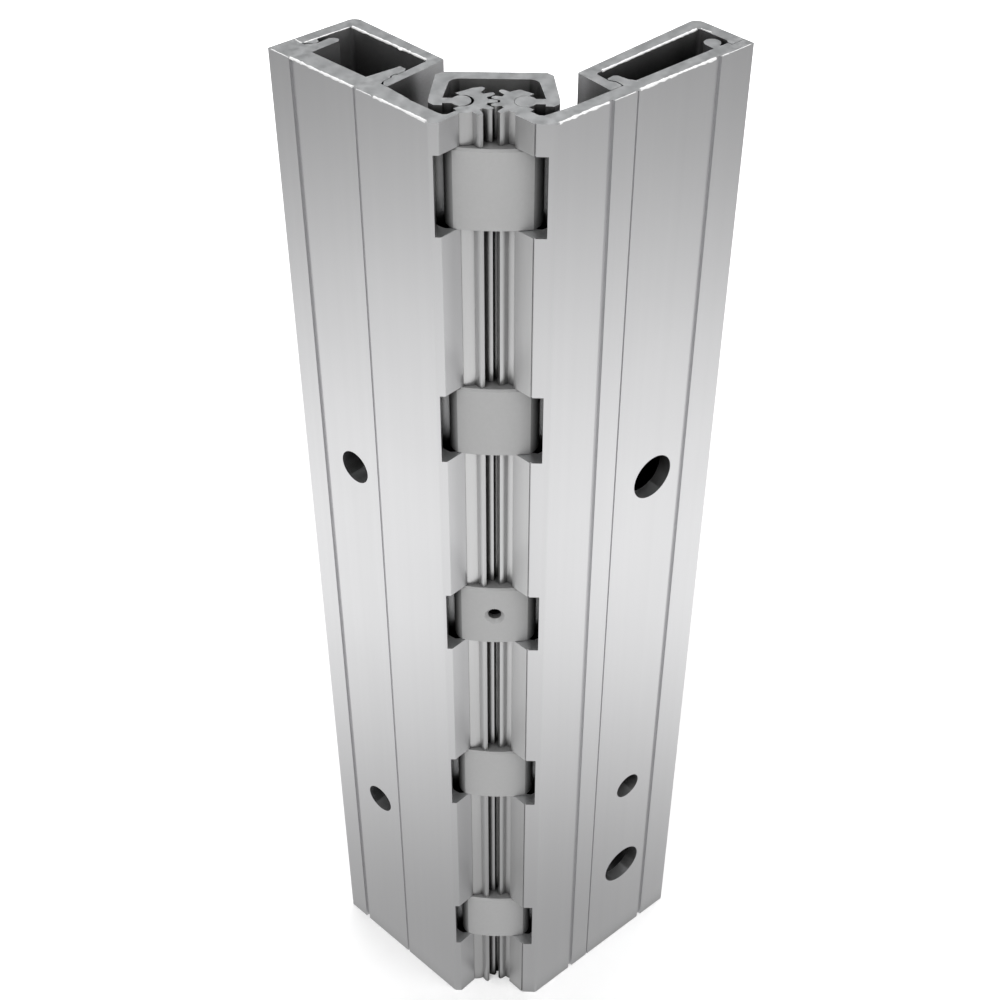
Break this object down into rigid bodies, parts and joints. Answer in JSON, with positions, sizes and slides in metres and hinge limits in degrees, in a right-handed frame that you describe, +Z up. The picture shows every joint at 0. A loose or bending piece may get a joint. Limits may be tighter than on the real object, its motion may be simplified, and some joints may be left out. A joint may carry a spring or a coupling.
{
  "type": "continuous hinge",
  "caption": "Geared continuous hinge, a short length standing on end: toothed aluminium leaves under a C-shaped cap, acetal thrust blocks and clip-on box covers.",
  "frame": {"origin": "on the lower end, midway between the two gear axes", "axes": "+Z up along the hinge, X across from left leaf to right leaf, mounting faces toward -Y"},
  "size_m": [0.1025, 0.0475, 0.3048],
  "materials": {
    "aluminium": "clear anodised, satin",
    "acetal": "moulded, matte",
    "steel": "dark, plain"
  },
  "bodies": {
    "cap": {"gear_cap": "aluminium", "thrust_bearing_1": "acetal", "thrust_bearing_2": "acetal", "thrust_bearing_3": "acetal", "thrust_bearing_4": "acetal", "thrust_bearing_5": "acetal", "bearing_set_screw": "steel"},
    "left": {"left_leaf": "aluminium", "left_cover": "aluminium"},
    "right": {"right_leaf": "aluminium", "right_cover": "aluminium"}
  },
  "joints": [
    {"name": "left_swing", "type": "hinge", "parent": "cap", "child": "left", "pos_m": [-0.00635, 0, 0], "axis": [0, 0, 1], "range_deg": [-42.5, 41.5]},
    {"name": "right_swing", "type": "hinge", "parent": "cap", "child": "right", "pos_m": [0.00635, 0, 0], "axis": [0, 0, 1], "range_deg": [-41.5, 42.5]}
  ],
  "couplings": [
    {"joint": "right_swing", "follows": "left_swing", "ratio": -1}
  ]
}
